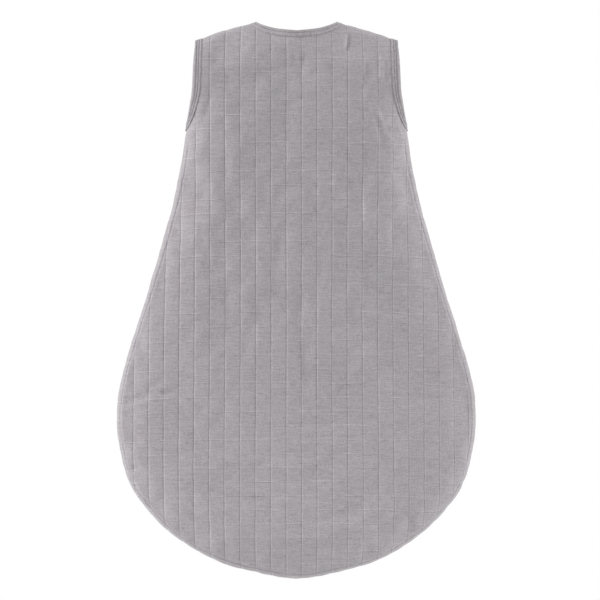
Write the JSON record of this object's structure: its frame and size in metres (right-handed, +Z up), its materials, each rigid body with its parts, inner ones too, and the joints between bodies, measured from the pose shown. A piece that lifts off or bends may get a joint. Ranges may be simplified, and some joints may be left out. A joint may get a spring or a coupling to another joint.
{
  "type": "baby sleeping bag",
  "caption": "Sleeveless pear-shaped baby sleeping bag in muslin, with bound neck and armholes, a round hem, a lining, and a centre-front zip with a guard and a hanging pull tab.",
  "frame": {"origin": "midway between the neck ends of the two shoulder lines, where a hanger's hook comes up through the neck", "axes": "+Z up along the bag's length, +Y out of the front with the zip, +X to the wearer's right"},
  "size_m": [0.451, 0.0544, 0.7009],
  "materials": {
    "muslin": "woven double muslin, warm grey, with fine vertical pin lines",
    "lining": "plain muslin, slightly paler grey",
    "binding": "folded muslin strip, two rows of grey topstitching",
    "seam_allowance": "overlocked cloth edges",
    "zip_tape": "tight herringbone tape",
    "zip_coil": "nylon coil",
    "zip_metal": "satin nickel colour",
    "label": "blank satin ribbon"
  },
  "bodies": {
    "bag": {"back_panel": "muslin", "front_panel_left": "muslin", "front_panel_right": "muslin", "back_lining": "lining", "front_lining_left": "lining", "front_lining_right": "lining", "neck_binding": "binding", "armhole_binding_left": "binding", "armhole_binding_right": "binding", "shoulder_seam_left": "seam_allowance", "shoulder_seam_right": "seam_allowance", "side_seam_left": "seam_allowance", "side_seam_right": "seam_allowance", "hem_seam": "seam_allowance", "zip_tape_left": "zip_tape", "zip_tape_right": "zip_tape", "zip_teeth_left": "zip_coil", "zip_teeth_right": "zip_coil", "zip_top_stop_left": "zip_metal", "zip_top_stop_right": "zip_metal", "zip_bottom_stop": "zip_metal", "zip_guard": "muslin", "zip_garage": "binding", "neck_label": "label", "care_label": "label"},
    "slider": {"slider_body": "zip_metal", "slider_crown": "zip_metal"},
    "pull_tab": {"pull_tab": "zip_metal"}
  },
  "joints": [
    {"name": "slider_travel", "type": "slide", "parent": "bag", "child": "slider", "axis": [0, 0, -1], "range_m": [0, 0.52]},
    {"name": "pull_tab_swing", "type": "hinge", "parent": "slider", "child": "pull_tab", "pos_m": [0, 0.028, -0.0698], "axis": [1, 0, 0], "range_deg": [0, 170]}
  ]
}
